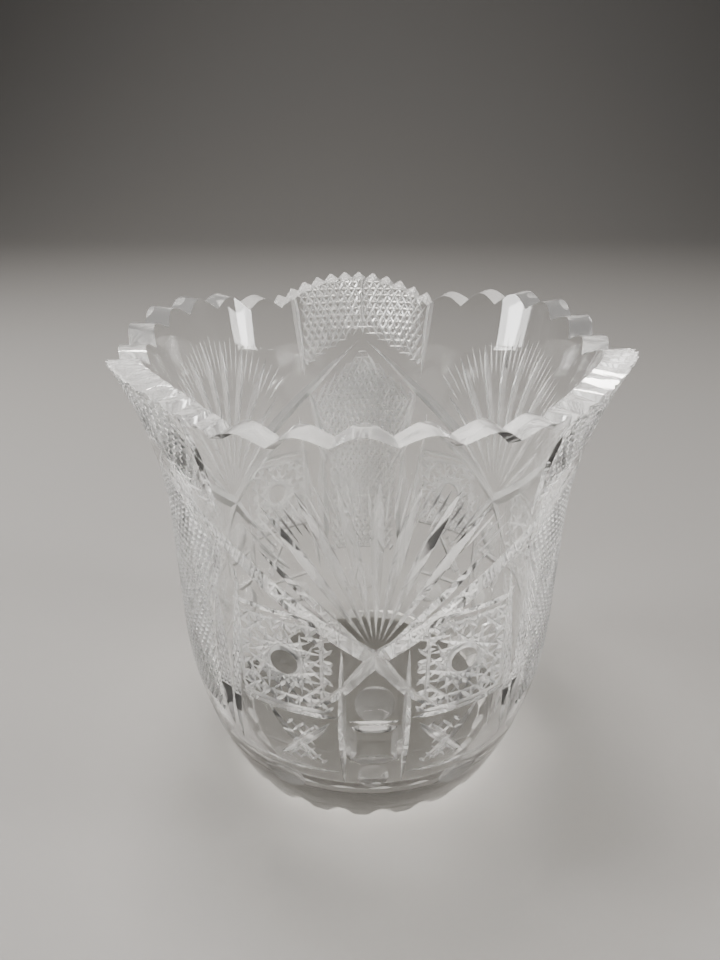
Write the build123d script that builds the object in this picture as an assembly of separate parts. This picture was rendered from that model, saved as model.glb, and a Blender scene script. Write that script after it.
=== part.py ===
from build123d import *
import os
from itertools import product
from math import asin, cos, degrees, radians, sin, sqrt, tan

# A hand-cut lead-crystal flower vase: one piece of blown glass, cut on the wheel.
# Millimetres, +Z up, origin at the centre of the foot's underside. Three plain fan panels alternate
# with three finely cut hatched panels around the body, and a fan panel's centre faces -Y.

# --- Driving dimensions -------------------------------------------------------------------------
WAIST_RADIUS = 70.5  # outside, on the straight band
BAND_LOW, BAND_HIGH = 65.0, 105.0  # heights between which the outside is straight
SHOULDER_ARC = 158.0  # the side's curve below the band, inwards to the foot
FLARE_ARC = 144.0  # the side's curve above the band, outwards to the rim
WALL = 8.3
BASE_THICKNESS = 14.0
FLOOR_FILLET = 16.0  # inside corner between wall and floor
FOOT_CHAMFER = 1.2
RIM_LOW = 157.8  # level of the rim's tooth tips beside the junctions between panels

PANEL_PAIRS = 3  # fan panel plus hatched panel, repeated around the axis
PANEL_STEP = 360 / PANEL_PAIRS
FAN_HALF = 35.0  # degrees, half the angle that a fan panel covers
HATCHED_HALF = PANEL_STEP / 2 - FAN_HALF
FAN_RISES = (5.4, 8.4, 8.4)  # how far each fan lobe rises above RIM_LOW; the one at -Y is ground flatter
HATCHED_RISE = 9.3

FAN_TEETH, HATCHED_TEETH = 6, 12  # rim teeth in one lobe
FAN_TOOTH_DEPTH, HATCHED_TOOTH_DEPTH = 4.0, 2.1
JUNCTION_DEPTH = 1.1  # of the notch between two lobes, below RIM_LOW
RIM_TURN, FOOT_TURN = 3.0, -3.5  # degrees that the rim's and the foot's cuts run ahead of the panels

FOOT_SCALLOPS = 24
SCALLOP_RADIUS, SCALLOP_DEPTH, SCALLOP_LEAN = 9.0, 2.2, 35.0
SCALLOP_TRAVEL = 40.0  # length of the wheel's stroke

# V cuts on the side, each as its two ends (degrees from the fan panel's centre, height) and its depth.
WHEEL_HALF_ANGLE = 52.0  # of the V-edged cutting wheel
APEX, CROSSING = (60.0, 141.0), (-3.0, 83.5)
MAIN_MITRE = (APEX, CROSSING, 2.3)
TAIL_MITRE = ((3.0, 88.5), (-18.0, 62.0), 2.0)
BORDER_MITRE = ((35.0, 110.0), (41.0, 34.0), 1.4)
COLUMN_MITRE = ((8.2, 90.0), (8.2, 26.0), 1.0)
SIDE_CUTS = (MAIN_MITRE, TAIL_MITRE, BORDER_MITRE, COLUMN_MITRE)
CUT_END_DEPTH = 0.1

THUMBPRINT_RADIUS, THUMBPRINT_DEPTH = 15.0, 1.6  # lens-shaped cuts beside the foot
THUMBPRINT_AZIMUTH, THUMBPRINT_HEIGHT = 27.5, 25.5

TOP = RIM_LOW + HATCHED_RISE
CLEARANCE = 4.0  # how far a cutter runs past what it cuts


def outside_radius(height):
    """Radius of the uncut outside at a height."""
    if height < BAND_LOW:
        return WAIST_RADIUS - SHOULDER_ARC + sqrt(SHOULDER_ARC**2 - (BAND_LOW - height) ** 2)
    if height > BAND_HIGH:
        return WAIST_RADIUS + FLARE_ARC - sqrt(FLARE_ARC**2 - (height - BAND_HIGH) ** 2)
    return WAIST_RADIUS


def side_curve(inset, low, high):
    """The side's curve from a low to a high level, moved inwards by an even thickness."""
    lower, upper = SHOULDER_ARC - inset, FLARE_ARC + inset
    shoulder_centre = (WAIST_RADIUS - SHOULDER_ARC, BAND_LOW)
    flare_centre = (WAIST_RADIUS + FLARE_ARC, BAND_HIGH)
    shoulder_turn = degrees(asin((BAND_LOW - low) / lower))
    flare_turn = degrees(asin((high - BAND_HIGH) / upper))
    waist = WAIST_RADIUS - inset
    return [
        CenterArc(shoulder_centre, lower, -shoulder_turn, shoulder_turn),
        Line((waist, BAND_LOW), (waist, BAND_HIGH)),
        CenterArc(flare_centre, upper, 180, -flare_turn),
    ]


def revolved(outline):
    """A solid turned about Z from an outline drawn as radius and height."""
    return revolve(Plane.XZ * make_face(outline), Axis.Z)


def blank():
    """The blown shape before cutting: a flared wall on a thick base, open at the top."""
    top = TOP + CLEARANCE
    outer = side_curve(0, 0, top)
    outside = outer + [
        Line(outer[-1] @ 1, (0, top)),
        Line((0, top), (0, 0)),
        Line((0, 0), outer[0] @ 0),
    ]
    inner = side_curve(WALL, BASE_THICKNESS, top + CLEARANCE)
    hollow = inner + [
        Line(inner[-1] @ 1, (0, top + CLEARANCE)),
        Line((0, top + CLEARANCE), (0, BASE_THICKNESS)),
        Line((0, BASE_THICKNESS), inner[0] @ 0),
    ]
    cavity = revolved(hollow)
    cavity = fillet(cavity.edges().group_by(Axis.Z)[0], FLOOR_FILLET)
    body = revolved(outside)
    body = chamfer(body.edges().group_by(Axis.Z)[0], FOOT_CHAMFER)
    return body - cavity


def rim_notch(azimuth, bottom, slope_before, slope_after):
    """A V-shaped cut across the wall from above, with its own slope towards each neighbouring tooth."""
    reach = TOP + 2 * CLEARANCE - bottom
    section = Plane.XZ * Polygon(
        (0, bottom),
        (reach / slope_after, bottom + reach),
        (-reach / slope_before, bottom + reach),
        align=None,
    )
    inner_end = WAIST_RADIUS - WALL - CLEARANCE
    outer_end = outside_radius(TOP) + 2 * CLEARANCE
    prism = extrude(section, outer_end - inner_end, dir=(0, -1, 0))
    return Rot(0, 0, azimuth) * Pos(0, -inner_end, 0) * prism


def tooth_slope(half, teeth, depth):
    """Rise over run of a tooth's side."""
    return depth / (radians(half / teeth) * outside_radius(RIM_LOW))


FAN_SLOPE = tooth_slope(FAN_HALF, FAN_TEETH, FAN_TOOTH_DEPTH)
HATCHED_SLOPE = tooth_slope(HATCHED_HALF, HATCHED_TEETH, HATCHED_TOOTH_DEPTH)


def lobe_notches(centre, half, rise, teeth, depth):
    """The cuts between the teeth of one lobe, whose tips follow a parabola."""
    slope = tooth_slope(half, teeth, depth)
    notches = []
    for number in range(1, teeth):
        across = 2 * number / teeth - 1
        bottom = RIM_LOW + rise * (1 - across**2) - depth
        notches.append(rim_notch(centre + across * half, bottom, slope, slope))
    return notches


def foot_scallops():
    """Shallow round cuts that notch the foot's edge all round."""
    cutters = []
    for number in range(FOOT_SCALLOPS):
        azimuth = FOOT_TURN + 360 * (number + 0.5) / FOOT_SCALLOPS
        cutter = Rot(0, SCALLOP_LEAN, 0) * Cylinder(SCALLOP_RADIUS, SCALLOP_TRAVEL)
        reach = outside_radius(0) + SCALLOP_RADIUS / cos(radians(SCALLOP_LEAN)) - SCALLOP_DEPTH
        cutters.append(Rot(0, 0, azimuth - 90) * Pos(reach, 0, 0) * cutter)
    return cutters


def side_point(azimuth, height, depth):
    """A point under the side's surface, at an angle from -Y."""
    radius = outside_radius(height) - depth
    return Vector(radius * sin(radians(azimuth)), -radius * cos(radians(azimuth)), height)


def side_cut(start, end, depth):
    """A V cut that follows the side and thins out towards both ends."""
    middle = ((start[0] + end[0]) / 2, (start[1] + end[1]) / 2)
    path = ThreePointArc(
        side_point(*start, CUT_END_DEPTH), side_point(*middle, depth), side_point(*end, CUT_END_DEPTH)
    )
    outwards = side_point(*start, -1) - side_point(*start, 0)
    reach = 2 * depth  # the wheel stands as far above the surface as it cuts into it
    half_width = reach * tan(radians(WHEEL_HALF_ANGLE))
    section = Plane(origin=path @ 0, x_dir=outwards, z_dir=path % 0) * Polygon(
        (0, 0), (reach, half_width), (reach, -half_width), align=None
    )
    return sweep(section, path)


def panel_cuts(centre):
    """The V cuts of one fan panel and its borders, the same on both sides of its centre."""
    cuts = []
    for (start, end, depth), side in product(SIDE_CUTS, (-1, 1)):
        ends = [(centre + side * azimuth, height) for azimuth, height in (start, end)]
        cuts.append(side_cut(*ends, depth))
    return cuts


def thumbprint(azimuth):
    """A shallow lens ground into the side above the foot."""
    distance = outside_radius(THUMBPRINT_HEIGHT) + THUMBPRINT_RADIUS - THUMBPRINT_DEPTH
    lean = asin((BAND_LOW - THUMBPRINT_HEIGHT) / SHOULDER_ARC)
    out = distance - (1 - cos(lean)) * THUMBPRINT_RADIUS
    down = sin(lean) * THUMBPRINT_RADIUS
    return Rot(0, 0, azimuth - 90) * Pos(out, 0, THUMBPRINT_HEIGHT - down) * Sphere(THUMBPRINT_RADIUS)


def vase_body():
    """The finished vase: the blank with its rim teeth, foot notches and largest cuts."""
    cutters = foot_scallops()
    low = RIM_LOW - JUNCTION_DEPTH
    for pair, fan_rise in enumerate(FAN_RISES):
        fan = PANEL_STEP * pair
        lobe = fan + RIM_TURN
        next_lobe = lobe + PANEL_STEP / 2
        cutters += lobe_notches(lobe, FAN_HALF, fan_rise, FAN_TEETH, FAN_TOOTH_DEPTH)
        cutters += lobe_notches(next_lobe, HATCHED_HALF, HATCHED_RISE, HATCHED_TEETH, HATCHED_TOOTH_DEPTH)
        cutters.append(rim_notch(lobe + FAN_HALF, low, FAN_SLOPE, HATCHED_SLOPE))
        cutters.append(rim_notch(lobe - FAN_HALF, low, HATCHED_SLOPE, FAN_SLOPE))
        cutters += panel_cuts(fan)
        cutters += [thumbprint(fan + side * THUMBPRINT_AZIMUTH) for side in (-1, 1)]
    return blank() - cutters


os.makedirs("parts", exist_ok=True)
body = vase_body()
body.label = "vase_body"
export_step(body, "parts/vase_body.step")
box = body.bounding_box()
print("vase_body", "solids", len(body.solids()), "volume", round(body.volume), "size", box.size)
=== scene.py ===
from math import ceil, cos, floor, hypot, pi, radians, sin, sqrt, tan

import bmesh
import bpy
from mathutils import Matrix, Vector


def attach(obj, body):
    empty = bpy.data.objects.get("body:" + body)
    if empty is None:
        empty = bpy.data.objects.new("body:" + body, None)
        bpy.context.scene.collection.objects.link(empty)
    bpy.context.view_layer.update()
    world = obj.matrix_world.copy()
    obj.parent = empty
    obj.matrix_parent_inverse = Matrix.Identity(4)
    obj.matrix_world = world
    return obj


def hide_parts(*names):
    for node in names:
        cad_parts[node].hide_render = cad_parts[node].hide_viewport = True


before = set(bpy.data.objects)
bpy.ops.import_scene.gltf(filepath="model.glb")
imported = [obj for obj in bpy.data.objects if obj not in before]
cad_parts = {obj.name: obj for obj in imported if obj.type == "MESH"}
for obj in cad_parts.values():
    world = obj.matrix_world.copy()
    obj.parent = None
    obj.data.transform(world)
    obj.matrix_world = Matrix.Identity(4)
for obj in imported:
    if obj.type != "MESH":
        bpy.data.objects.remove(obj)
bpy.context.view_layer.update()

# The vase's glass is made as a craftsman makes it: a smooth blown blank, then wheel cuts taken out of it.
# Lengths are in millimetres until the mesh is finished, angles in degrees counter-clockwise from -Y.
MM = 0.001

# --- The blank, as in the CAD -----------------------------------------------------------------
WAIST_RADIUS = 70.5
BAND_LOW, BAND_HIGH = 65.0, 105.0
SHOULDER_ARC, FLARE_ARC = 158.0, 144.0
WALL, BASE_THICKNESS, FLOOR_FILLET, FOOT_CHAMFER = 8.3, 14.0, 16.0, 1.2
BLANK_TOP = 171.0
OUTSIDE_SEGMENTS, INSIDE_SEGMENTS = 192, 120
OUTSIDE_STEP, INSIDE_STEP = 4.0, 5.0  # of height, between the rings of points
CORNER_STEP = 10  # degrees
OPEN_TOP = BLANK_TOP + 1  # of the solid that is taken out for the inside

# --- Rim ----------------------------------------------------------------------------------------
PANEL_PAIRS = 3
PANEL_STEP = 360 / PANEL_PAIRS
FAN_HALF = 35.0
HATCHED_HALF = PANEL_STEP / 2 - FAN_HALF
RIM_LOW, JUNCTION_DEPTH = 157.8, 1.1
FAN_RISES, HATCHED_RISE = (5.4, 8.4, 8.4), 9.3
FAN_TEETH, HATCHED_TEETH = 6, 12
FAN_DEPTHS, HATCHED_DEPTHS = (3.7, 4.4), (2.2, 0.1)  # at the outer and the inner edge of the wall
HATCHED_DROP = 1.2  # of the hatched lobes' smooth inner edge, below their tooth tips
END_TOOTH_RISE = 0.25  # share of its depth by which the first and last tooth of a lobe stand higher
FAN_ROUNDING, HATCHED_ROUNDING = 0.5, 0.3  # share of a tooth's half width that its rounded crest takes
FAN_SAMPLES, HATCHED_SAMPLES = 16, 10  # points across one tooth
RIM_TURN, FOOT_TURN = 3.0, -3.5
RIM_OVERRUN = 3.0  # how far the rim's cutter runs past the blank

# --- Cuts: places are (degrees from the panel's centre, height) ----------------------------------
LIFT = 0.3  # how far a cutter stands above the surface
BATCH = 24  # cutters taken in one boolean
END_DEPTH = -0.15  # a cut's ends run out just above the surface
WHEEL, HATCH_WHEEL, WIDE_WHEEL, FLAT_WHEEL = 50, 52, 56, 66  # half angles of the V-edged wheels
UNROLL = radians(1) * WAIST_RADIUS  # millimetres round the waist in one degree

FANS = [PANEL_STEP * pair for pair in range(PANEL_PAIRS)]  # azimuths of the panels' centres
HATCHED = [fan + PANEL_STEP / 2 for fan in FANS]
SIDES = (-1, 1)

# The mitres between fans and hatched panels, which cross under each fan and bend to run almost level.
APEX, CROSSING = (60.0, 141.0), (0.0, 86.3)
MITRE_BENDS = ((42.0, 122.5), (25.0, 107.5))
TAIL = ((-4.0, 80.0), (-7.5, 74.0), (-11.0, 69.5), (-15.0, 65.5), (-25.0, 61.0))
MITRE_DEPTH, TAIL_DEPTH = 2.5, 2.0
MITRE_QUICKNESS = 1.6  # a mitre is at its full depth after 1 / 1.6 of its length

# Straight cuts, as (start, end, depth).
HATCHED_EDGE = ((22.5, 172), (21.5, 125), 1.3)
HATCHED_SEAM = ((0, 175), (0, 141), 1.0)
HATCHED_TAPER = ((20.5, 121.5), (14.2, 90), 1.5)
BORDER = ((35, 112), (41, 33), 1.6)
FAN_FLANK = ((2.5, 91), (28, 121), 1.2)
LEAF = ((43.5, 100), (43.5, 38), 2.1)
SQUARE_HEAD = ((38.5, 99.5), (9, 99.5), 0.8)
SQUARE_FOOT = ((38.5, 62), (9, 62), 0.8)
COLUMN = ((8.2, 92), (8.2, 26), 1.1)
ARCH_SILL = ((-7.4, 61), (7.4, 61), 0.7)
BLOCK_SIDE = ((6.3, 60.5), (6.3, 41.5), 1.0)
BLOCK_FOOT = ((-6.6, 43), (6.6, 43), 1.0)
BLOCK_HEAD = ((-6.6, 58.5), (6.6, 58.5), 0.9)
CROSS = (((11, 60), (27, 38), 1.3), ((15, 38), (29, 63), 1.3))
LEVEL_GROOVE = ((40, 34), (8, 35), 1.0)

# Round cuts, as (height, half width, half height, depth).
ARCH = (68.5, 7.0, 7.5, 1.3)
OVAL = (33.5, 5.6, 8.0, 1.3)
FAN_THUMBPRINT, HATCHED_THUMBPRINT = (25.0, 9.0, 8.0, 1.8), (28.0, 9.0, 8.0, 1.8)
THUMBPRINT_AZIMUTH = 27.5
SCALLOPS, SCALLOP_RADIUS, SCALLOP_DEPTH, SCALLOP_LEAN = 24, 9.0, 2.2, 35.0
SCALLOP_REACH, SCALLOP_SIDES = 20.0, 32

# The fans' rays.
FAN_ROOT, FAN_TOP = 88.5, 151.0
FAN_DROP = 13.7  # from the middle ray's tip down to the outermost one's
RAY_STEP, RAY_COUNT = 8.4, 3  # thick rays to each side of the middle one
RAY_POINTS, RAY_SLENDERNESS = 10, 1.3
THICK_START, THICK_DEPTH, THICK_PEAK = 0.03, 1.55, 0.64  # start and deepest place as shares of the length
THIN_START, THIN_DEPTH, THIN_PEAK = 0.7, 0.38, 0.5
THIN_REACHES = (0.99, 1.02, 0.99)  # of the thin rays in one gap, as shares of a thick ray's

# Hatching, as (angle, depth) of its parallel cuts, and the outlines of its fields.
HATCH_PITCH, SHORTEST_HATCH = 2.5, 2.5
HATCH_STEP = 5.0  # between the points of a hatching cut
STAR_HATCHES = ((0, 0.35), (62, 0.6), (-62, 0.6))
UPPER_FIELD = [(0, 142.5), (21, 129.5), (21, 169), (-21, 169), (-21, 129.5)]
LOWER_FIELD = [
    (0, 137), (19.5, 117.5), (14.5, 92), (13.5, 43), (-13.5, 43), (-14.5, 92), (-19.5, 117.5),
]
CROSS_HATCHES, CROSS_PITCH = ((50, 0.5), (-50, 0.5)), 3.2
CROSS_FIELD = [(11, 58.5), (25, 58.5), (20.5, 49), (26, 38.5), (11, 38.5), (16, 49)]

# Hobstars: sixteen-pointed stars round a plain hub, each in a square of crossed ground.
HOB_AZIMUTH, HOB_HEIGHT = 23.0, 81.0
HOB_HUB, HOB_REACH, HOB_POINTS, HOB_DEPTH = 5.6, 14.5, 16, 0.95
SQUARE = [(10, 98), (37, 98), (37, 63), (10, 63)]
GROUND_RING, GROUND_RING_SIDES = HOB_REACH * 0.82, 24
GROUND_ANGLES, GROUND_PITCH, GROUND_DEPTH, SHORTEST_GROUND = (0, 45, 90, 135), 4.0, 0.6, 3.0

POLISHED, CUT, FINE = 0, 1, 2  # material slots: blown surface, large cuts, fine cuts


def outside_radius(height):
    """Radius of the uncut outside at a height."""
    if height < BAND_LOW:
        return WAIST_RADIUS - SHOULDER_ARC + sqrt(SHOULDER_ARC**2 - (BAND_LOW - height) ** 2)
    if height > BAND_HIGH:
        return WAIST_RADIUS + FLARE_ARC - sqrt(FLARE_ARC**2 - (height - BAND_HIGH) ** 2)
    return WAIST_RADIUS


def inside_radius(height):
    """Radius of the wall's inside at a height, above the floor's rounded corner."""
    if height < BAND_LOW:
        arc = SHOULDER_ARC - WALL
        return WAIST_RADIUS - SHOULDER_ARC + sqrt(arc**2 - (BAND_LOW - height) ** 2)
    if height > BAND_HIGH:
        arc = FLARE_ARC + WALL
        return WAIST_RADIUS + FLARE_ARC - sqrt(arc**2 - (height - BAND_HIGH) ** 2)
    return WAIST_RADIUS - WALL


def outside_slope(height):
    """Change of the outside radius with height."""
    if height < BAND_LOW:
        return (BAND_LOW - height) / sqrt(SHOULDER_ARC**2 - (BAND_LOW - height) ** 2)
    if height > BAND_HIGH:
        return (height - BAND_HIGH) / sqrt(FLARE_ARC**2 - (height - BAND_HIGH) ** 2)
    return 0.0


def outward(azimuth):
    """The level direction away from the axis at an angle."""
    return Vector((sin(radians(azimuth)), -cos(radians(azimuth)), 0))


def on_side(azimuth, height):
    """A point of the uncut outside, and the surface's normal there."""
    normal = (outward(azimuth) - Vector((0, 0, outside_slope(height)))).normalized()
    return outward(azimuth) * outside_radius(height) + Vector((0, 0, height)), normal


# --- Closed meshes as (points, faces) ------------------------------------------------------------


def revolved(outline, segments):
    """A closed solid turned about Z from (radius, height) points that start and end on the axis."""
    rings = outline[1:-1]
    rays = [outward(360 * s / segments) for s in range(segments)]
    points = [ray * radius + Vector((0, 0, height)) for radius, height in rings for ray in rays]
    points += [Vector((0, 0, outline[0][1])), Vector((0, 0, outline[-1][1]))]
    bottom, top = len(points) - 2, len(points) - 1
    faces = []
    for s in range(segments):
        t = (s + 1) % segments
        faces.append((bottom, t, s))
        for ring in range(len(rings) - 1):
            low, high = ring * segments, (ring + 1) * segments
            faces.append((low + s, low + t, high + t, high + s))
        last = (len(rings) - 1) * segments
        faces.append((last + s, last + t, top))
    return points, faces


def swept(sections, closed=False):
    """A closed solid through a row of polygons with equal numbers of corners."""
    corners = len(sections[0])
    points = [p for section in sections for p in section]
    faces = []
    count = len(sections)
    for i in range(count if closed else count - 1):
        here, there = i * corners, (i + 1) % count * corners
        for c in range(corners):
            d = (c + 1) % corners
            faces.append((here + c, here + d, there + d, there + c))
    if not closed:
        faces.append(tuple(range(corners))[::-1])
        faces.append(tuple(range((count - 1) * corners, count * corners)))
    return outside_out(points, faces)


def outside_out(points, faces):
    """Turns the faces so that their normals point out of the solid."""
    volume = 0.0
    for face in faces:
        for i in range(1, len(face) - 1):
            volume += points[face[0]].dot(points[face[i]].cross(points[face[i + 1]]))
    return points, faces if volume > 0 else [face[::-1] for face in faces]


def new_object(name, solids, material=POLISHED):
    """One mesh object from a list of closed solids that don't touch."""
    points, faces = [], []
    for solid_points, solid_faces in solids:
        start = len(points)
        points += solid_points
        faces += [tuple(start + i for i in face) for face in solid_faces]
    mesh = bpy.data.meshes.new(name)
    mesh.from_pydata(points, [], faces)
    mesh.polygons.foreach_set("material_index", [material] * len(faces))
    made = bpy.data.objects.new(name, mesh)
    bpy.context.scene.collection.objects.link(made)
    for _ in (POLISHED, CUT, FINE):
        mesh.materials.append(None)
    return made


def cut(body, solids, material):
    """Takes a group of cutters that don't overlap out of the body, a few at a time."""
    for start in range(0, len(solids), BATCH):
        tool = new_object("tool", solids[start : start + BATCH], material)
        modifier = body.modifiers.new("cut", "BOOLEAN")
        modifier.operation, modifier.solver, modifier.object = "DIFFERENCE", "MANIFOLD", tool
        ready = body.evaluated_get(bpy.context.evaluated_depsgraph_get())
        mesh = bpy.data.meshes.new_from_object(ready)
        body.modifiers.clear()
        body.data = mesh
        bpy.data.objects.remove(tool)


# --- Blank ---------------------------------------------------------------------------------------


def heights(low, high, step):
    """Levels from low to high, at most a step apart."""
    count = ceil((high - low) / step)
    return [low + (high - low) * i / count for i in range(count + 1)]


def blank():
    """The turned outside of the vase, solid and taller than the rim."""
    side = [(outside_radius(z), z) for z in heights(FOOT_CHAMFER, BLANK_TOP, OUTSIDE_STEP)]
    foot = outside_radius(0) - FOOT_CHAMFER
    outline = [(0, 0), (foot / 2, 0), (foot, 0)] + side + [(0, BLANK_TOP)]
    return new_object("vase", [revolved(outline, OUTSIDE_SEGMENTS)])


def cavity():
    """The inside, with a rounded corner between its floor and its wall."""
    centre_z = BASE_THICKNESS + FLOOR_FILLET
    centre_r = inside_radius(centre_z) - FLOOR_FILLET
    corner = [
        (centre_r + FLOOR_FILLET * sin(radians(a)), centre_z - FLOOR_FILLET * cos(radians(a)))
        for a in range(0, 90, CORNER_STEP)
    ]
    wall = [(inside_radius(z), z) for z in heights(centre_z, OPEN_TOP, INSIDE_STEP)]
    floor_points = [(0, BASE_THICKNESS), (centre_r / 2, BASE_THICKNESS)]
    return revolved(floor_points + corner + wall + [(0, OPEN_TOP)], INSIDE_SEGMENTS)


# --- Rim teeth -----------------------------------------------------------------------------------


def tooth(start, end, lows, tips, rounding, samples):
    """Rim heights across one tooth, from valley to valley, as (azimuth, height outside, height inside)."""
    rows = []
    crest = 1 - rounding / 2
    for i in range(samples):
        x = 2 * i / samples - 1
        height = 1 - abs(x) if abs(x) > rounding else crest - x * x / (2 * rounding)
        share = height / crest
        azimuth = start + (end - start) * i / samples
        low = lows[0] if x < 0 else lows[1]
        rows.append((azimuth, *(valley + (tip - valley) * share for valley, tip in zip(low, tips))))
    return rows


def lobe(centre, half, rise, teeth, depths, drop, rounding, samples):
    """The teeth of one lobe, whose tips follow a parabola between its two junctions."""
    junction = (RIM_LOW - JUNCTION_DEPTH,) * 2

    def level(number):
        return RIM_LOW + rise * (1 - (2 * number / teeth - 1) ** 2)

    def valley(number):
        if number in (0, teeth):
            return junction
        return level(number) - depths[0], level(number) - drop - depths[1]

    rows = []
    for number in range(teeth):
        start, end = (centre - half + 2 * half * n / teeth for n in (number, number + 1))
        tip = (level(number) + level(number + 1)) / 2
        if number in (0, teeth - 1):
            tip += depths[0] * END_TOOTH_RISE
        rows += tooth(start, end, (valley(number), valley(number + 1)), (tip, tip - drop), rounding, samples)
    return rows


def rim_cutter():
    """Everything above the teeth, as one ring."""
    rows = []
    for fan, rise in zip(FANS, FAN_RISES):
        fan_shape = (rise, FAN_TEETH, FAN_DEPTHS, 0, FAN_ROUNDING, FAN_SAMPLES)
        rows += lobe(fan + RIM_TURN, FAN_HALF, *fan_shape)
        hatched_shape = (
            HATCHED_RISE, HATCHED_TEETH, HATCHED_DEPTHS, HATCHED_DROP, HATCHED_ROUNDING, HATCHED_SAMPLES
        )
        rows += lobe(fan + RIM_TURN + PANEL_STEP / 2, HATCHED_HALF, *hatched_shape)
    far, near = outside_radius(BLANK_TOP) + RIM_OVERRUN, WAIST_RADIUS - WALL - RIM_OVERRUN
    roof = BLANK_TOP + RIM_OVERRUN
    sections = []
    for azimuth, out_z, in_z in rows:
        edge = outside_radius(out_z)
        slope = (out_z - in_z) / WALL
        ray = outward(azimuth)
        sections.append([
            ray * near + Vector((0, 0, out_z + slope * (near - edge))),
            ray * far + Vector((0, 0, out_z + slope * (far - edge))),
            ray * far + Vector((0, 0, roof)),
            ray * near + Vector((0, 0, roof)),
        ])
    return swept(sections, closed=True)


# --- V cuts on the side --------------------------------------------------------------------------


LEAST_STEPS = 3
MM_PER_DEGREE = 1.5  # the height that counts as one degree when a path's points are spaced
BLUNTNESS = 0.8  # below 1, a cut keeps its depth longer towards its ends


def between(start, end, step=4.0):
    """Points along a straight line of the unrolled side, at most a step of degrees apart."""
    count = max(LEAST_STEPS, ceil(hypot(end[0] - start[0], (end[1] - start[1]) / MM_PER_DEGREE) / step))
    return [
        (start[0] + (end[0] - start[0]) * i / count, start[1] + (end[1] - start[1]) * i / count)
        for i in range(count + 1)
    ]


def lens(depth, count, peak=0.5, start_bluntness=BLUNTNESS):
    """Depths of a cut that runs out at both ends, deepest at a share of its length."""
    depths = []
    for i in range(count):
        share = i / (count - 1)
        if share < peak:
            bump = sin(share / peak * pi / 2) ** start_bluntness
        else:
            bump = sin((1 - share) / (1 - peak) * pi / 2) ** BLUNTNESS
        depths.append(END_DEPTH + (depth - END_DEPTH) * bump)
    return depths


def even(depth, count):
    """Depths of a cut that is level but for its two ends."""
    return [END_DEPTH] + [depth] * (count - 2) + [END_DEPTH]


def v_cut(path, depths, half_angle):
    """A bent wedge along a path on the side, its edge at each point's depth."""
    spots = [on_side(*point) for point in path]
    last = len(spots) - 1
    spread = tan(radians(half_angle))
    sections = []
    for i, ((point, normal), depth) in enumerate(zip(spots, depths)):
        before, after = spots[max(i - 1, 0)][0], spots[min(i + 1, last)][0]
        across = (after - before).normalized().cross(normal).normalized()
        half = (depth + LIFT) * spread
        sections.append([
            point - normal * depth,
            point + normal * LIFT + across * half,
            point + normal * LIFT - across * half,
        ])
    return swept(sections)


def shifted(points, centre, side=1):
    """Panel points moved to a panel's centre, mirrored for its other side."""
    return [(centre + side * azimuth, height) for azimuth, height in points]


def main_mitres(side):
    """The big cuts between fans and hatched panels, which cross under each fan."""
    path = [APEX]
    for start, end in zip((APEX, *MITRE_BENDS), (*MITRE_BENDS, CROSSING)):
        path += between(start, end)[1:]
    depths = [
        END_DEPTH + MITRE_DEPTH * sin(pi / 2 * min(1, MITRE_QUICKNESS * i / len(path)))
        for i in range(len(path))
    ]
    path += TAIL
    depths += [END_DEPTH + TAIL_DEPTH * cos(pi / 2 * (i + 1) / len(TAIL)) for i in range(len(TAIL))]
    return [v_cut(shifted(path, fan, side), depths, WHEEL) for fan in FANS]


def straight(line, half_angle=WHEEL, centres=FANS, shape=lens, sides=SIDES):
    """One straight cut of each panel, and its mirror image across the panel's centre."""
    start, end, depth = line
    path = between(start, end)
    depths = shape(depth, len(path))
    return [v_cut(shifted(path, c, side), depths, half_angle) for c in centres for side in sides]


# --- Fan -----------------------------------------------------------------------------------------


def fan_ray(azimuth, start, reach, depth, peak):
    """Path and depths of one ray of a fan, up to its place on the arc that the rays' tips follow."""
    tip = FAN_ROOT + (FAN_TOP - FAN_DROP * (azimuth / (RAY_STEP * RAY_COUNT)) ** 2 - FAN_ROOT) * reach
    spots = [start + (1 - start) * i / (RAY_POINTS - 1) for i in range(RAY_POINTS)]
    path = [(azimuth * t * reach, FAN_ROOT + (tip - FAN_ROOT) * t) for t in spots]
    return path, lens(depth, len(path), peak, start_bluntness=RAY_SLENDERNESS)


def thick_rays(first):
    """Every other thick ray, so that the cutters of one group stay apart at the fan's root."""
    cutters = []
    for number in range(-RAY_COUNT + first, RAY_COUNT + 1, 2):
        path, depths = fan_ray(number * RAY_STEP, THICK_START, 1.0, THICK_DEPTH, THICK_PEAK)
        cutters += [v_cut(shifted(path, fan), depths, WHEEL) for fan in FANS]
    return cutters


def thin_rays(number):
    """Short fine rays between the tips of the thick ones, and outside the outermost."""
    cutters = []
    for gap in range(-RAY_COUNT - 1, RAY_COUNT + 1):
        azimuth = (gap + (number + 1) / (len(THIN_REACHES) + 1)) * RAY_STEP
        path, depths = fan_ray(azimuth, THIN_START, THIN_REACHES[number], THIN_DEPTH, THIN_PEAK)
        cutters += [v_cut(shifted(path, fan), depths, WHEEL) for fan in FANS]
    return cutters


# --- Hatching ------------------------------------------------------------------------------------

PARALLEL = 1e-9  # below this, a line doesn't meet a side of an outline


def edges(loops):
    """The sides of closed outlines given in degrees and heights, on the unrolled side in millimetres."""
    made = []
    for loop in loops:
        flat = [(azimuth * UNROLL, height) for azimuth, height in loop]
        made += zip(flat, flat[1:] + flat[:1])
    return made


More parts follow.
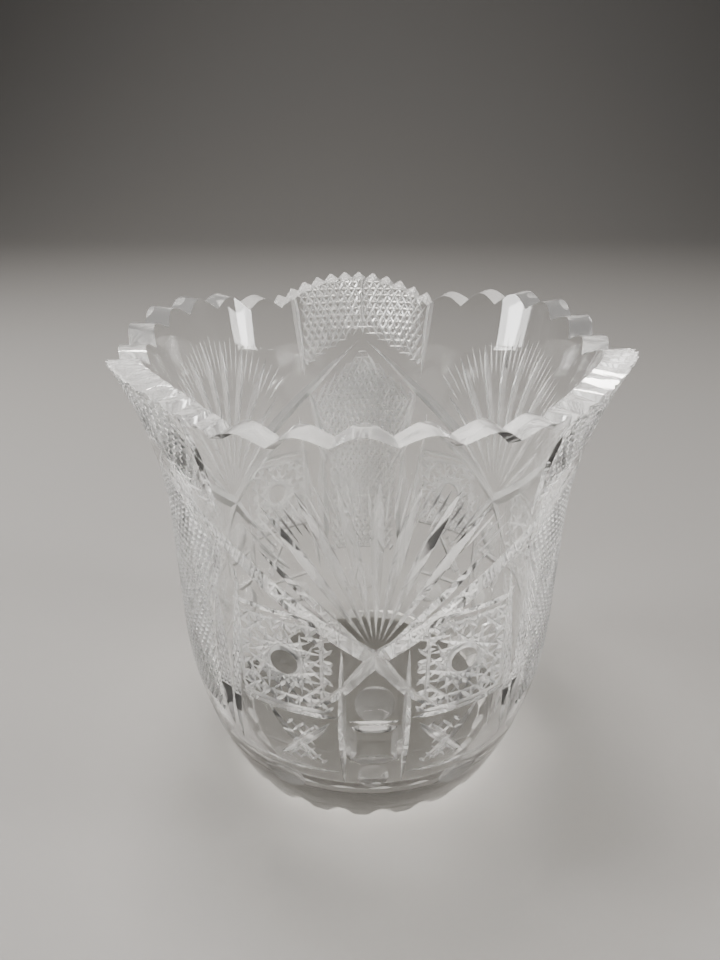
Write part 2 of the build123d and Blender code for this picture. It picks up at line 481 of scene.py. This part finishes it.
def spans(outline, origin, direction):
    """Where a line lies inside an outline, as pairs of distances along it."""
    hits = []
    for (ax, ay), (bx, by) in outline:
        ex, ey = bx - ax, by - ay
        bottom = direction[0] * ey - direction[1] * ex
        if abs(bottom) < PARALLEL:
            continue
        wx, wy = ax - origin[0], ay - origin[1]
        share = (wx * direction[1] - wy * direction[0]) / bottom
        if 0 <= share < 1:
            hits.append((wx * ey - wy * ex) / bottom)
    hits.sort()
    return list(zip(hits[::2], hits[1::2]))


def hatch(loops, angle, pitch, depth, shortest=SHORTEST_HATCH):
    """Parallel cuts across a field of the unrolled side as (path, depths); an inner outline stays uncut."""
    outline = edges(loops)
    direction = (cos(radians(angle)), sin(radians(angle)))
    normal = (-direction[1], direction[0])
    offsets = [x * normal[0] + y * normal[1] for (x, y), _ in outline]
    lines = []
    for number in range(ceil(min(offsets) / pitch), floor(max(offsets) / pitch) + 1):
        origin = (normal[0] * number * pitch, normal[1] * number * pitch)
        for low, high in spans(outline, origin, direction):
            if high - low < shortest:
                continue
            ends = [
                ((origin[0] + direction[0] * along) / UNROLL, origin[1] + direction[1] * along)
                for along in (low, high)
            ]
            path = between(*ends, step=HATCH_STEP)
            lines.append((path, even(depth, len(path))))
    return lines


def star_hatching(body):
    """Level and slanting cuts through one grid of triangles, which leave six-pointed stars."""
    for angle, depth in STAR_HATCHES:
        lines = []
        for field in (UPPER_FIELD, LOWER_FIELD):
            lines += hatch([field], angle, HATCH_PITCH, depth)
        group = [v_cut(shifted(path, c), depths, HATCH_WHEEL) for path, depths in lines for c in HATCHED]
        cut(body, group, FINE)


def fan_panel_hatching(body, loops, angle, pitch, depth, shortest=SHORTEST_HATCH):
    """Hatching of one field to each side of every fan panel's centre."""
    group = []
    for path, depths in hatch(loops, angle, pitch, depth, shortest):
        group += [v_cut(shifted(path, fan, side), depths, WHEEL) for fan in FANS for side in SIDES]
    cut(body, group, FINE)


# --- Hobstars ------------------------------------------------------------------------------------


def hobstar_ground(body):
    """Crossed cuts that fill the square round each hobstar."""
    ring = [
        (HOB_AZIMUTH + GROUND_RING * cos(t) / UNROLL, HOB_HEIGHT + GROUND_RING * sin(t))
        for t in (2 * pi * i / GROUND_RING_SIDES for i in range(GROUND_RING_SIDES))
    ]
    for angle in GROUND_ANGLES:
        fan_panel_hatching(body, [SQUARE, ring], angle, GROUND_PITCH, GROUND_DEPTH, SHORTEST_GROUND)


def hobstar_chords(number):
    """Two parallel chords, one each side of the hub, of every hobstar."""
    angle = pi * number / (HOB_POINTS // 2)
    half = sqrt(HOB_REACH**2 - HOB_HUB**2)
    along, off = (cos(angle), sin(angle)), (-sin(angle), cos(angle))
    cutters = []
    for hub in (-HOB_HUB, HOB_HUB):
        ends = [
            (
                HOB_AZIMUTH + (off[0] * hub + along[0] * reach) / UNROLL,
                HOB_HEIGHT + off[1] * hub + along[1] * reach,
            )
            for reach in (-half, half)
        ]
        path = between(*ends, step=HATCH_STEP)
        depths = lens(HOB_DEPTH, len(path))
        cutters += [v_cut(shifted(path, fan, side), depths, WHEEL) for fan in FANS for side in SIDES]
    return cutters


# --- Round cuts ----------------------------------------------------------------------------------


def lens_cut(azimuth, height, half_width, half_height, depth, rings=7, segments=32):
    """A shallow bowl ground into the side, as an oval dish closed by a flat lid above the surface."""
    centre, normal = on_side(azimuth, height)
    level = Vector((0, 0, 1)).cross(normal).normalized()
    up = normal.cross(level)
    rim = sqrt(1 + LIFT * 2 / depth)
    points = [centre - normal * depth]
    faces = []
    for ring in range(1, rings + 1):
        share = rim * ring / rings
        for s in range(segments):
            turn = 2 * pi * s / segments
            flat = level * (half_width * share * cos(turn)) + up * (half_height * share * sin(turn))
            points.append(centre + flat - normal * depth * (1 - share**2))
    for s in range(segments):
        t = (s + 1) % segments
        faces.append((0, 1 + s, 1 + t))
        for ring in range(rings - 1):
            low, high = 1 + ring * segments, 1 + (ring + 1) * segments
            faces.append((low + s, high + s, high + t, low + t))
    faces.append(tuple(1 + (rings - 1) * segments + s for s in range(segments))[::-1])
    return outside_out(points, faces)


def foot_scallops(first):
    """Leaning round cuts that notch the foot's edge: every other one, as they would overlap."""
    lean = radians(SCALLOP_LEAN)
    cutters = []
    for number in range(first, SCALLOPS, 2):
        out = outward(FOOT_TURN + 360 * (number + 0.5) / SCALLOPS)
        around = Vector((0, 0, 1)).cross(out)
        axis = (Vector((0, 0, 1)) * cos(lean) + out * sin(lean)).normalized()
        across = axis.cross(around).normalized()
        centre = out * (outside_radius(0) + SCALLOP_RADIUS / cos(lean) - SCALLOP_DEPTH)
        turns = [2 * pi * s / SCALLOP_SIDES for s in range(SCALLOP_SIDES)]
        circle = [(across * cos(t) + around * sin(t)) * SCALLOP_RADIUS for t in turns]
        ends = [centre + axis * end for end in (-SCALLOP_REACH, SCALLOP_REACH)]
        cutters.append(swept([[end + spoke for spoke in circle] for end in ends]))
    return cutters


# --- Cutting -------------------------------------------------------------------------------------


def cut_fans(body):
    """The thick rays of every fan, then the fine ones between their tips."""
    for first in (0, 1):
        cut(body, thick_rays(first), CUT)
    for number in range(len(THIN_REACHES)):
        cut(body, thin_rays(number), FINE)


def cut_hobstars(body):
    """The hobstars and the ground round them."""
    hobstar_ground(body)
    for number in range(HOB_POINTS // 2):
        cut(body, hobstar_chords(number), FINE)


def cut_borders(body):
    """The big mitres, and the cuts that frame the hatched fields and the hobstars."""
    for side in SIDES:
        cut(body, main_mitres(side), CUT)
    cut(body, straight(HATCHED_EDGE, centres=HATCHED), CUT)
    cut(body, straight(HATCHED_SEAM, centres=HATCHED, shape=even, sides=(1,)), CUT)
    cut(body, straight(HATCHED_TAPER, centres=HATCHED), CUT)
    cut(body, straight(BORDER), CUT)
    cut(body, straight(FAN_FLANK), CUT)
    cut(body, straight(LEAF, WIDE_WHEEL), CUT)
    for line in (SQUARE_HEAD, SQUARE_FOOT):
        cut(body, straight(line, shape=even), CUT)


def cut_column(body):
    """The column below each crossing, with its arch, bevelled block and oval."""
    cut(body, straight(COLUMN), CUT)
    cut(body, straight(ARCH_SILL, sides=(1,)), CUT)
    cut(body, straight(BLOCK_SIDE, FLAT_WHEEL, shape=even), CUT)
    for line in (BLOCK_FOOT, BLOCK_HEAD):
        cut(body, straight(line, FLAT_WHEEL, shape=even, sides=(1,)), CUT)
    for dish in (ARCH, OVAL):
        cut(body, [lens_cut(fan, *dish) for fan in FANS], CUT)


def cut_foot(body):
    """Crosses on fine ground beside the column, a level groove, thumbprints and the foot's notches."""
    for angle, depth in CROSS_HATCHES:
        fan_panel_hatching(body, [CROSS_FIELD], angle, CROSS_PITCH, depth)
    for line in (*CROSS, LEVEL_GROOVE):
        cut(body, straight(line), CUT)
    thumbprints = [
        lens_cut(fan + side * THUMBPRINT_AZIMUTH, *FAN_THUMBPRINT) for fan in FANS for side in SIDES
    ]
    cut(body, thumbprints + [lens_cut(hatched, *HATCHED_THUMBPRINT) for hatched in HATCHED], CUT)
    for first in (0, 1):
        cut(body, foot_scallops(first), CUT)


def cut_all(body):
    """Every cut of the vase; later ones cross the earlier."""
    cut(body, [cavity()], POLISHED)
    cut(body, [rim_cutter()], CUT)
    star_hatching(body)
    cut_fans(body)
    cut_hobstars(body)
    cut_borders(body)
    cut_column(body)
    cut_foot(body)


def drop_crumbs(mesh):
    """Leaves only the vase, without the crumbs that crossing cuts have freed."""
    shape = bmesh.new()
    shape.from_mesh(mesh)
    unseen = set(shape.verts)
    parts = []
    while unseen:
        part, waiting = [], [unseen.pop()]
        while waiting:
            vertex = waiting.pop()
            part.append(vertex)
            near = {edge.other_vert(vertex) for edge in vertex.link_edges} & unseen
            unseen -= near
            waiting += near
        parts.append(part)
    parts.sort(key=len)
    bmesh.ops.delete(shape, geom=[vertex for part in parts[:-1] for vertex in part], context="VERTS")
    shape.to_mesh(mesh)
    shape.free()


# --- Shading normals -----------------------------------------------------------------------------

CREASE = 24.0
LEVEL_FACE = 0.995  # the upright part of a normal, above which its face counts as level
AXIS_ZONE = 1.0  # no direction away from the axis is sure nearer to it
CHAMFER_TOP = FOOT_CHAMFER - 0.01


def blank_normal(point, face_normal):
    """The true normal of the turned surface near a point, on the side that the face looks to."""
    radius = hypot(point.x, point.y)
    if abs(face_normal.z) > LEVEL_FACE or radius < AXIS_ZONE:
        return face_normal
    out = Vector((point.x / radius, point.y / radius, 0))
    if face_normal.dot(out) > 0:
        if point.z < CHAMFER_TOP:
            return face_normal
        return (out - Vector((0, 0, outside_slope(point.z)))).normalized()
    corner_z = BASE_THICKNESS + FLOOR_FILLET
    if point.z < corner_z:
        centre = out * (inside_radius(corner_z) - FLOOR_FILLET) + Vector((0, 0, corner_z))
        return (centre - point).normalized()
    slope = inside_radius(point.z + 0.5) - inside_radius(point.z - 0.5)  # over one millimetre of height
    return (Vector((0, 0, slope)) - out).normalized()


def shade(mesh):
    """Smooth blown surfaces, and cut faces smooth along their length but crisp at their edges."""
    mesh.polygons.foreach_set("use_smooth", [True] * len(mesh.polygons))
    faces_of_edge = [[] for _ in mesh.edges]
    for polygon in mesh.polygons:
        for loop in polygon.loop_indices:
            faces_of_edge[mesh.loops[loop].edge_index].append(polygon)
    limit = cos(radians(CREASE))
    for edge, faces in zip(mesh.edges, faces_of_edge):
        alike = len(faces) == 2 and faces[0].material_index == faces[1].material_index
        edge.use_edge_sharp = not alike or faces[0].normal.dot(faces[1].normal) < limit
    normals = [Vector(corner.vector) for corner in mesh.corner_normals]
    for polygon in mesh.polygons:
        if polygon.material_index == POLISHED:
            for loop in polygon.loop_indices:
                vertex = mesh.vertices[mesh.loops[loop].vertex_index]
                normals[loop] = blank_normal(vertex.co, polygon.normal)
    mesh.normals_split_custom_set(normals)


# --- Materials -----------------------------------------------------------------------------------


GLASS_COLOUR, GLASS_IOR = (0.985, 0.985, 0.98, 1), 1.545
SHADOW_COLOUR = (0.7, 0.7, 0.69, 1)
NOISE_DETAIL, NOISE_LOW, NOISE_HIGH = 3.0, 0.35, 0.65  # the noise mostly stays between low and high
BUMP_HEIGHT = 0.0002


def node(tree, kind, **inputs):
    """A new node, with values for its inputs by name."""
    made = tree.nodes.new(kind)
    for name, value in inputs.items():
        made.inputs[name.replace("_", " ")].default_value = value
    return made


def crystal(name, roughness, speckle, bump, clear):
    """Lead crystal, with slightly uneven polish; lamps shine on through it."""
    material = bpy.data.materials.new(name)
    material.use_nodes = True
    tree = material.node_tree
    glass = tree.nodes["Principled BSDF"]
    glass.inputs["Base Color"].default_value = GLASS_COLOUR
    glass.inputs["Transmission Weight"].default_value = clear
    glass.inputs["IOR"].default_value = GLASS_IOR
    place = tree.nodes.new("ShaderNodeTexCoord")
    noise = node(tree, "ShaderNodeTexNoise", Scale=speckle, Detail=NOISE_DETAIL)
    limits = {"From_Min": NOISE_LOW, "From_Max": NOISE_HIGH, "To_Min": roughness[0], "To_Max": roughness[1]}
    spread = node(tree, "ShaderNodeMapRange", **limits)
    raised = node(tree, "ShaderNodeBump", Strength=bump, Distance=BUMP_HEIGHT)
    path = tree.nodes.new("ShaderNodeLightPath")
    open_way = node(tree, "ShaderNodeBsdfTransparent", Color=SHADOW_COLOUR)
    either = tree.nodes.new("ShaderNodeMixShader")
    for source, target in (
        (place.outputs["Object"], noise.inputs["Vector"]),
        (noise.outputs["Fac"], spread.inputs["Value"]),
        (spread.outputs["Result"], glass.inputs["Roughness"]),
        (noise.outputs["Fac"], raised.inputs["Height"]),
        (raised.outputs["Normal"], glass.inputs["Normal"]),
        (path.outputs["Is Shadow Ray"], either.inputs["Fac"]),
        (glass.outputs["BSDF"], either.inputs[1]),
        (open_way.outputs["BSDF"], either.inputs[2]),
        (either.outputs["Shader"], tree.nodes["Material Output"].inputs["Surface"]),
    ):
        tree.links.new(source, target)
    return material


def plain(name, colour, rough):
    """An even matt surface."""
    material = bpy.data.materials.new(name)
    material.use_nodes = True
    surface = material.node_tree.nodes["Principled BSDF"]
    surface.inputs["Base Color"].default_value = colour
    surface.inputs["Roughness"].default_value = rough
    return material


# --- The vase ------------------------------------------------------------------------------------

vase = blank()
cut_all(vase)
drop_crumbs(vase.data)
shade(vase.data)
vase.data.transform(Matrix.Scale(MM, 4))
vase.name = vase.data.name = "cut_crystal_vase"
finishes = (
    crystal("polished_crystal", roughness=(0.0, 0.05), speckle=60.0, bump=0.03, clear=1.0),
    crystal("cut_crystal", roughness=(0.02, 0.1), speckle=220.0, bump=0.06, clear=0.74),
    crystal("fine_cut_crystal", roughness=(0.06, 0.16), speckle=260.0, bump=0.06, clear=0.64),
)
for slot_number, finish in enumerate(finishes):
    vase.data.materials[slot_number] = finish
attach(vase, "root")
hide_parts("vase_body")

# --- Room, in metres -----------------------------------------------------------------------------

FLOOR_COLOUR, FLOOR_ROUGHNESS = (0.3, 0.293, 0.285, 1), 0.6
CARD_COLOUR, CARD_ROUGHNESS = (0.01, 0.01, 0.01, 1), 0.9
CARD_DISTANCE = 0.38  # of the black cards from the vase's axis
VASE_MIDDLE = Vector((0, 0, 0.08))
WORLD_COLOUR, WORLD_STRENGTH = (0.72, 0.72, 0.72, 1), 0.14


def in_scene(name, data):
    """A new stage object of the scene, which isn't part of the vase."""
    made = bpy.data.objects.new(name, data)
    bpy.context.scene.collection.objects.link(made)
    return made


def sweep_floor():
    """A floor that curves up into a backdrop."""
    bend, steps, behind, front, side, top = 0.8, 16, 1.2, -3.0, 4.0, 3.5
    turns = [pi / 2 * i / steps for i in range(steps + 1)]
    curve = [(behind + bend * sin(t), bend * (1 - cos(t))) for t in turns]
    curve = [(front, 0.0)] + curve + [(behind + bend, top)]
    mesh = bpy.data.meshes.new("floor")
    strips = [(2 * i, 2 * i + 1, 2 * i + 3, 2 * i + 2) for i in range(len(curve) - 1)]
    mesh.from_pydata([(x, y, z) for y, z in curve for x in (-side, side)], [], strips)
    mesh.polygons.foreach_set("use_smooth", [True] * len(mesh.polygons))
    mesh.materials.append(plain("pale_floor", FLOOR_COLOUR, FLOOR_ROUGHNESS))
    in_scene("floor", mesh)


def flag(side):
    """A low black card beside the set, outside the view, that gives the glass its dark edges."""
    near, far, top = -0.5, 0.42, 0.2
    x = CARD_DISTANCE * side
    mesh = bpy.data.meshes.new("flag")
    mesh.from_pydata([(x, near, 0), (x, far, 0), (x, far, top), (x, near, top)], [], [(0, 1, 2, 3)])
    mesh.materials.append(plain("black_card", CARD_COLOUR, CARD_ROUGHNESS))
    card = in_scene("flag", mesh)
    card.visible_camera = card.visible_shadow = card.visible_diffuse = False


def softbox(name, place, size, power, colour=(1, 1, 1)):
    """A rectangular lamp that looks at the vase."""
    lamp = bpy.data.lights.new(name, "AREA")
    lamp.shape, lamp.size, lamp.size_y = "RECTANGLE", *size
    lamp.energy, lamp.color = power, colour
    holder = in_scene(name, lamp)
    holder.location = place
    holder.rotation_euler = (VASE_MIDDLE - Vector(place)).to_track_quat("-Z", "Y").to_euler()


sweep_floor()
for side in SIDES:
    flag(side)
softbox("overhead", place=(-0.15, 0.25, 1.4), size=(0.4, 0.4), power=18, colour=(1.0, 0.965, 0.93))
softbox("left", place=(-1.0, 0.1, 0.55), size=(0.25, 0.8), power=7)
softbox("right", place=(1.1, -0.2, 0.6), size=(0.2, 0.8), power=6)

world = bpy.data.worlds.new("studio")
world.use_nodes = True
background = world.node_tree.nodes["Background"]
background.inputs["Color"].default_value = WORLD_COLOUR
background.inputs["Strength"].default_value = WORLD_STRENGTH
bpy.context.scene.world = world
bpy.context.scene.view_settings.look = "AgX - High Contrast"

# --- Camera --------------------------------------------------------------------------------------

CAMERA_PLACE = Vector((-0.0028, -0.2343, 0.2307))
CAMERA_TURN, CAMERA_PITCH, CAMERA_ROLL = -1.5, 27.41, 0.12  # degrees; the pitch is down from level
CAMERA_LENS, SENSOR_WIDTH = 27.04, 36.0
NEAREST_VIEW = 0.01

camera = bpy.data.cameras.new("camera")
camera.lens, camera.sensor_width = CAMERA_LENS, SENSOR_WIDTH
camera.clip_start = NEAREST_VIEW
viewer = bpy.data.objects.new("camera", camera)
bpy.context.scene.collection.objects.link(viewer)
turned = Matrix.Rotation(radians(CAMERA_TURN), 4, "Z")
tilted = Matrix.Rotation(radians(90 - CAMERA_PITCH), 4, "X")
rolled = Matrix.Rotation(radians(CAMERA_ROLL), 4, "Z")
viewer.matrix_world = turned @ Matrix.Translation(CAMERA_PLACE) @ (tilted @ rolled)
bpy.context.scene.camera = viewer
